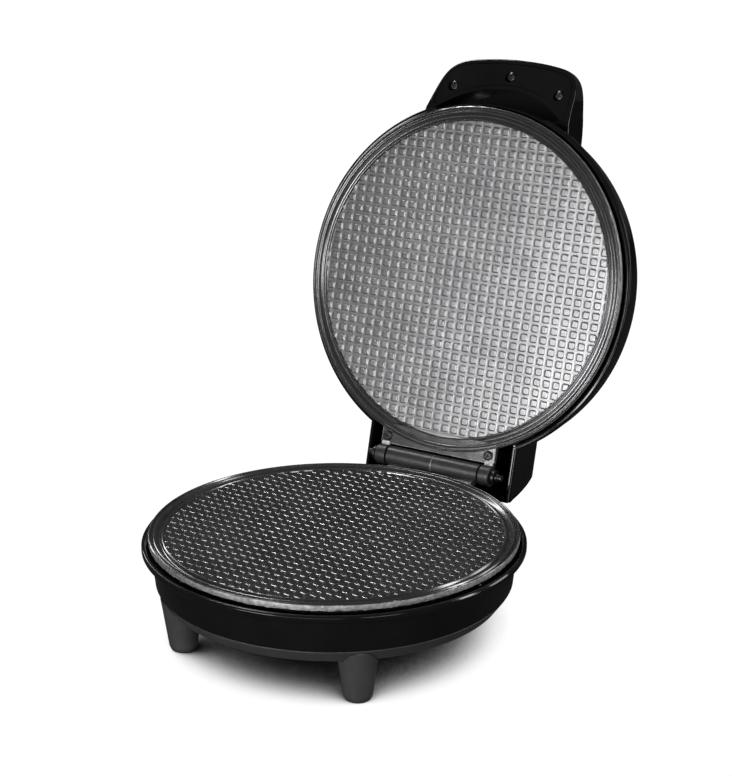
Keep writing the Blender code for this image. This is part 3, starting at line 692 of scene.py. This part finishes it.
# ==================================================================== hinge
def hinge_parts():
    """The pin with its stepped ends, and the open spring clip on each end."""
    half = PIN_HALF
    profile = soften([(0.0, half), (PIN_R - 0.6, half), (PIN_R - 0.5, half - 2.2), (PIN_R, half - 2.6),
                      (PIN_R, -half + 2.6), (PIN_R - 0.5, -half + 2.2), (PIN_R - 0.6, -half), (0.0, -half)],
                     0.2, 3)
    pin = shifted(turned(lathe(profile, 48), "Y", 90.0), (0.0, HINGE_Y, HINGE_Z))
    piece("hinge_pin_turned", pin, "base", [DARK_STEEL], ["hinge_pin"])
    for side, word in ((1, "right"), (-1, "left")):
        ring = [polar(4.4, a) for a in range(-60, 241, 6)] + [polar(2.75, a) for a in range(240, -61, -6)]
        clip = slab(ring, "X", side * 39.6 - 0.9, side * 39.6 + 0.9, 0.25, 3)
        for vert in clip.verts:
            vert.co.y += HINGE_Y
            vert.co.z += HINGE_Z
        piece(f"hinge_clip_{word}_ring", clip, "base", [DARK_STEEL], [f"hinge_clip_{word}"])


# =============================================================== lid shell
def handle_plan(move):
    """Plan of the handle from its back right corner round its tip to its back left."""
    right = [(48.4, -70.0), (48.0, -84.0), (47.0, -96.0), (45.8, -104.0), (44.6, -112.0), (43.0, -118.0),
             (40.4, -122.6), (36.0, -126.2), (29.0, -128.6), (15.0, -130.4), (0.0, -131.0)]
    side = []
    for x, y in spline(right, 6):
        depth = max(0.0, min(1.0, (-y - 110.0) / 20.0))
        side.append((max(x - move * (1.0 - 0.75 * depth), 0.0), y + move * depth))
    side[-1] = (0.0, -131.0 + move)
    return side + [(-x, y) for x, y in side[-2::-1]]


BEND_Y, BEND_Z = -104.0, 18.6         # where the handle's underside turns up towards the tip
TIP_RUN, TIP_Z = 26.4, 32.4           # from there to the tip, and the underside's height at the tip


def under_z(y):
    """Height of the handle's sloping underside."""
    if y > BEND_Y:
        return max(15.2, BEND_Z - (y - BEND_Y) * 0.49)
    return BEND_Z + (BEND_Y - y) * (TIP_Z - BEND_Z) / TIP_RUN


def over_z(y):
    """Height of the handle's top, falling a little over its tip and towards the dome."""
    away = max(0.0, -y - 124.0)
    back = max(0.0, y + 112.0)
    return 37.4 - 0.048 * away ** 2 - 0.0011 * back ** 2


def paired_caps(rings):
    """Closes a stack of mirrored rings with strips across, so that a curved cap stays smooth."""
    bm, first, last = stack(rings)
    count = len(first)
    for ring in (first, last):
        for i in range((count - 1) // 2):
            corners = list(dict.fromkeys((ring[i], ring[i + 1], ring[count - 2 - i], ring[count - 1 - i])))
            if len(corners) > 2:
                bm.faces.new(corners)
    return bm


def wedge(low, high, edge_low, edge_high):
    """The handle's plan between two sloping heights, its edges rounded."""
    turns = quarter_turn(5)
    rings = []
    for level, sign, edge, order in ((low, 1, edge_low, turns), (high, -1, edge_high, turns[::-1])):
        for t in order:
            ring = handle_plan(edge * (1 - math.sin(t)))
            rings.append([(x, y, level(y) + sign * edge * (1 - math.cos(t))) for x, y in ring])
    return paired_caps(rings)


def arch(offset, reach=41.0):
    """The arched edge over the finger recess, from left to right."""
    return [(reach * t, -(97.6 + 15.0 * (1.0 - abs(t) ** 2.2)) - offset)
            for t in (-1.0 + 2.0 * i / 32 for i in range(33))]


HANDLE_SCREWS = {"handle_screw_left": (-34.5, -112.0), "handle_screw_centre": (0.0, -120.4),
                 "handle_screw_right": (34.5, -112.0)}
COVER_FRONT_Y = -103.0                # the handle's hollow and its cover lie on the tip's side of this
LENSES = {"power": (-13.0, RED, "red_lens"), "ready": (13.0, GREEN, "green_lens")}
LENS_Y = -52.0


def tunnel(half, top, edge):
    """Front outline of the hood: straight sides and a top with round shoulders."""
    return ([(half, 0.0), (half, top - edge)] + arc((half - edge, top - edge), edge, 0, 90, 10)[1:]
            + arc((edge - half, top - edge), edge, 90, 180, 10) + [(-half, 0.0)])


def lid_shell():
    """The domed lid with its lip, the hood over the hinge, and the handle with its finger recess."""
    dome = spline([(101.4, 10.4), (101.2, 14.0), (100.6, 21.6), (99.2, 26.0), (95.5, 30.0), (88.0, 33.2),
                   (72.0, 35.6), (40.0, 36.4), (0.0, 36.6)], 5)
    lip = soften([(0.0, 12.0), (97.0, 12.0), (101.1, 5.2), (102.2, 4.95), (103.2, 5.15), (LIP_R, 6.0),
                  (LIP_R, 8.2), (103.0, 9.2), (101.6, 10.0), (101.4, 10.4)], 0.5, 4, sharp=(0, 9))
    hood_back = spline([(123.0, 6.0), (121.6, 11.0), (118.4, 19.0), (113.0, 28.5), (106.5, 35.0),
                        (99.0, 38.4), (91.0, 39.0), (76.0, 37.4), (60.0, 34.0)], 5)
    hood = [(60.0, 5.0), (122.4, 5.0)] + hood_back
    inner = soften([(0.0, -10.0), (100.9, -10.0), (100.9, 5.4), (98.9, 6.8), (99.3, 11.0), (98.7, 21.8),
                    (97.4, 25.2), (94.2, 28.6), (87.4, 31.4), (71.8, 33.7), (40.0, 34.5), (0.0, 34.7)],
                   1.0, 3, sharp=(1, 2))
    room = [(66.0, -10.0), (120.4, -10.0), (120.4, 5.2)] + spline(
        [(119.1, 10.4), (116.1, 17.9), (110.9, 26.9), (104.8, 33.0), (98.3, 36.0), (91.0, 36.5), (77.0, 35.2),
         (66.0, 32.0)], 4)
    rim = [polar(101.9, a) for a in range(290, 249, -3)]
    recess = arch(0.0) + [p for p in rim if abs(p[0]) < 38.0]
    hollow_plan = [p for p in handle_plan(2.6) if p[1] < COVER_FRONT_Y] + arch(2.4, reach=42.6)
    hollow = carved(prism(hollow_plan, "Z", 0.0, 60.0), ("keep", prism(
        [(-95.0, 34.4), (-125.0, 34.9), (-128.4, 34.4), (-129.4, 31.0), (-129.4, 0.0), (-95.0, 0.0)],
        "X", -60.0, 60.0)))
    hood_shape = carved(slab(hood, "X", -HOOD_HALF, HOOD_HALF, 2.0, 5),
                        ("keep", prism(tunnel(HOOD_HALF + 0.05, 39.2, 10.0), "Y", 50.0, 140.0)))
    room_shape = carved(prism(room, "X", -48.0, 48.0),
                        ("keep", prism(tunnel(46.5, 36.8, 8.0)[:-1] + [(-46.5, -20.0), (46.5, -20.0)],
                                       "Y", 50.0, 140.0)))
    steps = [
        ("join", hood_shape),
        ("join", wedge(under_z, over_z, 0.7, 2.2)),
        ("cut", lathe(inner)),
        ("cut", room_shape),
        ("cut", prism(recess, "Z", -5.0, 33.0)),
        ("cut", hollow),
    ]
    for x, y in HANDLE_SCREWS.values():
        low = under_z(y) + 5.4
        steps.append(("join", rod((x, y, (low + 36.0) / 2), "Z", 3.4, 36.0 - low, 32, 0.2)))
        steps.append(("cut", rod((x, y, low + 1.0), "Z", 1.7, 9.0, 24, 0.0)))
    for side in (-1, 1):
        steps.append(("join", rod((side * WEB_SCREW_X, WEB_SCREW_Y, 20.9), "Z", 3.8, 31.6, 32, 0.2)))
        steps.append(("cut", rod((side * WEB_SCREW_X, WEB_SCREW_Y, 9.0), "Z", 1.7, 20.0, 24, 0.0)))
    for x, _, _ in LENSES.values():
        steps.append(("cut", rod((x, LENS_Y, 36.0), "Z", 4.3, 20.0, 48, 0.0)))
    shape = carved(lathe(lip + dome[1:]), *steps)
    piece("lid_shell_skin", shape, "lid", [GLOSS], ["lid_shell"])


def handle_cover():
    """The panel under the handle, with a sunk cup for each of its three screws."""
    plan = [p for p in handle_plan(2.9) if p[1] < COVER_FRONT_Y] + arch(2.7, reach=42.2)
    tip, back = -128.7, -95.0
    section = [(tip, under_z(tip)), (BEND_Y, under_z(BEND_Y)), (back, under_z(back)),
               (back, under_z(back) + 2.6), (BEND_Y, under_z(BEND_Y) + 2.6), (tip, under_z(tip) + 1.6)]
    panel = carved(prism(plan, "Z", 0.0, 60.0), ("keep", prism(section, "X", -60.0, 60.0)))
    slope = [(-129.0, under_z(-129.0) + 0.4), (back, under_z(back) + 0.4), (back, 60.0), (-129.0, 60.0)]
    steps = []
    for x, y in HANDLE_SCREWS.values():
        low = under_z(y)
        steps.append(("join", carved(rod((x, y, low + 2.5), "Z", 4.5, 5.2, 48, 0.2),
                                     ("keep", prism(slope, "X", -60.0, 60.0)))))
        steps.append(("cut", rod((x, y, low - 2.0), "Z", 3.3, 9.6, 48, 0.0)))
        steps.append(("cut", rod((x, y, low + 4.0), "Z", 1.7, 8.0, 24, 0.0)))
    piece("handle_cover_panel", carved(panel, *steps), "lid", [GLOSS], ["handle_cover"])


def lenses():
    dome = soften([(0.0, 29.8), (5.4, 29.8), (5.4, 32.2), (4.0, 32.3), (4.0, 36.0), (3.4, 37.0)], 0.3, 3)
    dome = dome + [(2.4, 37.35), (1.2, 37.5), (0.0, 37.55)]
    for name, (x, look, slot) in LENSES.items():
        lens = shifted(lathe(dome, 64), (x, LENS_Y, 0.0))
        piece(f"{name}_lens_dome", lens, "lid", [look], [f"{name}_lens"])


def screws():
    for name, (x, y) in COVER_SPOTS.items():
        screw(name, "base", (x, y, -34.9), ZINC, head_h=1.2, length=11.0)
    for name, (x, y) in HANDLE_SCREWS.items():
        screw(name, "lid", (x, y, under_z(y) + 2.5), DARK_STEEL, head_h=1.5, length=6.2)
    for side, word in ((1, "right"), (-1, "left")):
        at = (side * WEB_SCREW_X, WEB_SCREW_Y, 1.0)
        screw(f"web_screw_{word}", "lid", at, DARK_STEEL, head_h=1.0, length=12.0)


# Nodes whose CAD shape stays take only a finer finish.
KEPT = {
    "lower_element": HEATER, "upper_element": HEATER, "lower_heat_shield": SHEET, "upper_heat_shield": SHEET,
    "lower_shield_screw_right": ZINC, "lower_shield_screw_left": ZINC, "upper_shield_screw_right": ZINC,
    "upper_shield_screw_left": ZINC, "plate_screw_right": ZINC, "plate_screw_rear": ZINC,
    "plate_screw_front": ZINC, "thermostat": SHEET, "lower_thermal_fuse": SHEET, "upper_thermal_fuse": SHEET,
    "terminal_block": CERAMIC, "power_lamp": GLASS, "ready_lamp": GLASS,
}


def kept_nodes():
    for name, look in KEPT.items():
        for holder in nodes[name].material_slots:
            holder.material = look


# ================================================================== studio
def aimed(obj, target):
    obj.rotation_euler = (Vector(target) - obj.location).to_track_quat("-Z", "Y").to_euler()


def softbox(name, at, target, width, height, power):
    """A rectangular light in metres and watts that the camera doesn't see."""
    data = bpy.data.lights.new(name, "AREA")
    data.shape = "RECTANGLE"
    data.size, data.size_y = width, height
    data.energy = power
    made = bpy.data.objects.new(name, data)
    made.location = at
    bpy.context.scene.collection.objects.link(made)
    aimed(made, target)
    made.visible_camera = False
    return made


def floor():
    """A white floor with a painted shadow: its glow darkens close under the machine by ambient occlusion;
    everything but the camera sees it dimly.
    """
    bm = bmesh.new()
    bmesh.ops.create_grid(bm, x_segments=8, y_segments=8, size=6.0)
    mesh = bpy.data.meshes.new("floor")
    bm.to_mesh(mesh)
    bm.free()
    made = bpy.data.objects.new("floor", mesh)
    made.location = (0.0, CENTRE.y, -0.0003)
    bpy.context.scene.collection.objects.link(made)
    look = bpy.data.materials.new("pale_floor_with_painted_shadow")
    look.use_nodes = True
    tree = look.node_tree
    tree.nodes.clear()
    out = node_of(tree, "ShaderNodeOutputMaterial")
    path = node_of(tree, "ShaderNodeLightPath")
    white = node_of(tree, "ShaderNodeEmission", Color=(1.0, 1.0, 1.0, 1.0))
    dim = node_of(tree, "ShaderNodeBsdfDiffuse", Color=(0.05, 0.05, 0.05, 1.0))
    # Painted shadow: ambient occlusion dims the floor's glow for the camera close under the machine
    shadow_occlusion = node_of(tree, "ShaderNodeAmbientOcclusion", samples=24, Distance=0.12)
    painted_shadow_glow = node_of(tree, "ShaderNodeMapRange", interpolation_type="SMOOTHSTEP", **{
        "From Min": 0.13, "From Max": 0.52, "To Min": 0.003, "To Max": 1.05})
    tree.links.new(shadow_occlusion.outputs["AO"], painted_shadow_glow.inputs["Value"])
    tree.links.new(painted_shadow_glow.outputs["Result"], white.inputs["Strength"])
    shown = node_of(tree, "ShaderNodeMixShader")
    tree.links.new(path.outputs["Is Camera Ray"], shown.inputs[0])
    tree.links.new(dim.outputs[0], shown.inputs[1])
    tree.links.new(white.outputs[0], shown.inputs[2])
    tree.links.new(shown.outputs[0], out.inputs["Surface"])
    mesh.materials.append(look)


def world():
    """White behind the object for the camera, and only a faint fill for everything else."""
    made = bpy.data.worlds.new("studio")
    bpy.context.scene.world = made
    made.use_nodes = True
    tree = made.node_tree
    tree.nodes.clear()
    out = node_of(tree, "ShaderNodeOutputWorld")
    path = node_of(tree, "ShaderNodeLightPath")
    white = node_of(tree, "ShaderNodeBackground", Color=(1.0, 1.0, 1.0, 1.0), Strength=1.0)
    dim = node_of(tree, "ShaderNodeBackground", Color=(1.0, 1.0, 1.0, 1.0), Strength=0.06)
    mix = node_of(tree, "ShaderNodeMixShader")
    tree.links.new(path.outputs["Is Camera Ray"], mix.inputs[0])
    tree.links.new(dim.outputs[0], mix.inputs[1])
    tree.links.new(white.outputs[0], mix.inputs[2])
    tree.links.new(mix.outputs[0], out.inputs["Surface"])


def lights():
    """dash_box lights the edges of the lower plate's pads, low_box the feet and the base's lower edge."""
    lid_centre = (0.0, 0.07, 0.17)
    plate_centre = (0.0, CENTRE.y, CENTRE.z)
    machine_centre = (0.0, 0.0, 0.2)
    softbox("front_box", (-0.24, -1.35, 0.34), lid_centre, 0.5, 0.5, 10.5)
    softbox("right_box", (1.15, -0.75, 0.40), lid_centre, 0.5, 0.6, 4.5)
    softbox("dash_box", (-0.70, 0.37, 1.23), plate_centre, 0.28, 0.28, 6.0)
    softbox("low_box", (0.25, -1.1, 0.07), (0.0, -0.1, 0.0), 0.9, 0.1, 3.5)
    softbox("rear_box", (1.0, 1.1, 0.45), lid_centre, 0.4, 0.6, 3.0)
    softbox("left_strip", (-1.1, 0.25, 0.55), machine_centre, 0.2, 0.9, 4.0)
    softbox("right_strip", (1.1, 0.45, 0.50), machine_centre, 0.2, 0.9, 5.0)


def camera():
    """The photograph's viewpoint: in front and to the right, looking a little down."""
    data = bpy.data.cameras.new("camera")
    data.lens = 91.23
    data.sensor_width = 36.0
    data.sensor_fit = "AUTO"
    data.clip_start, data.clip_end = 0.05, 50.0
    made = bpy.data.objects.new("camera", data)
    right = Vector((0.85164, 0.52413, 0.0))
    up = Vector((-0.16485, 0.26787, 0.94925))
    turn = Matrix((right, up, right.cross(up))).transposed()
    made.matrix_world = Matrix.Translation(CENTRE + Vector((0.52993, -0.82846, 0.40472))) @ turn.to_4x4()
    bpy.context.scene.collection.objects.link(made)
    bpy.context.scene.camera = made


bpy.context.scene.view_settings.view_transform = "Standard"
camera()
world()
floor()
lights()
lower_plate()
upper_plate()
base_shell()
bottom_cover()
feet()
gland()
hinge_parts()
lid_shell()
handle_cover()
lenses()
screws()
kept_nodes()
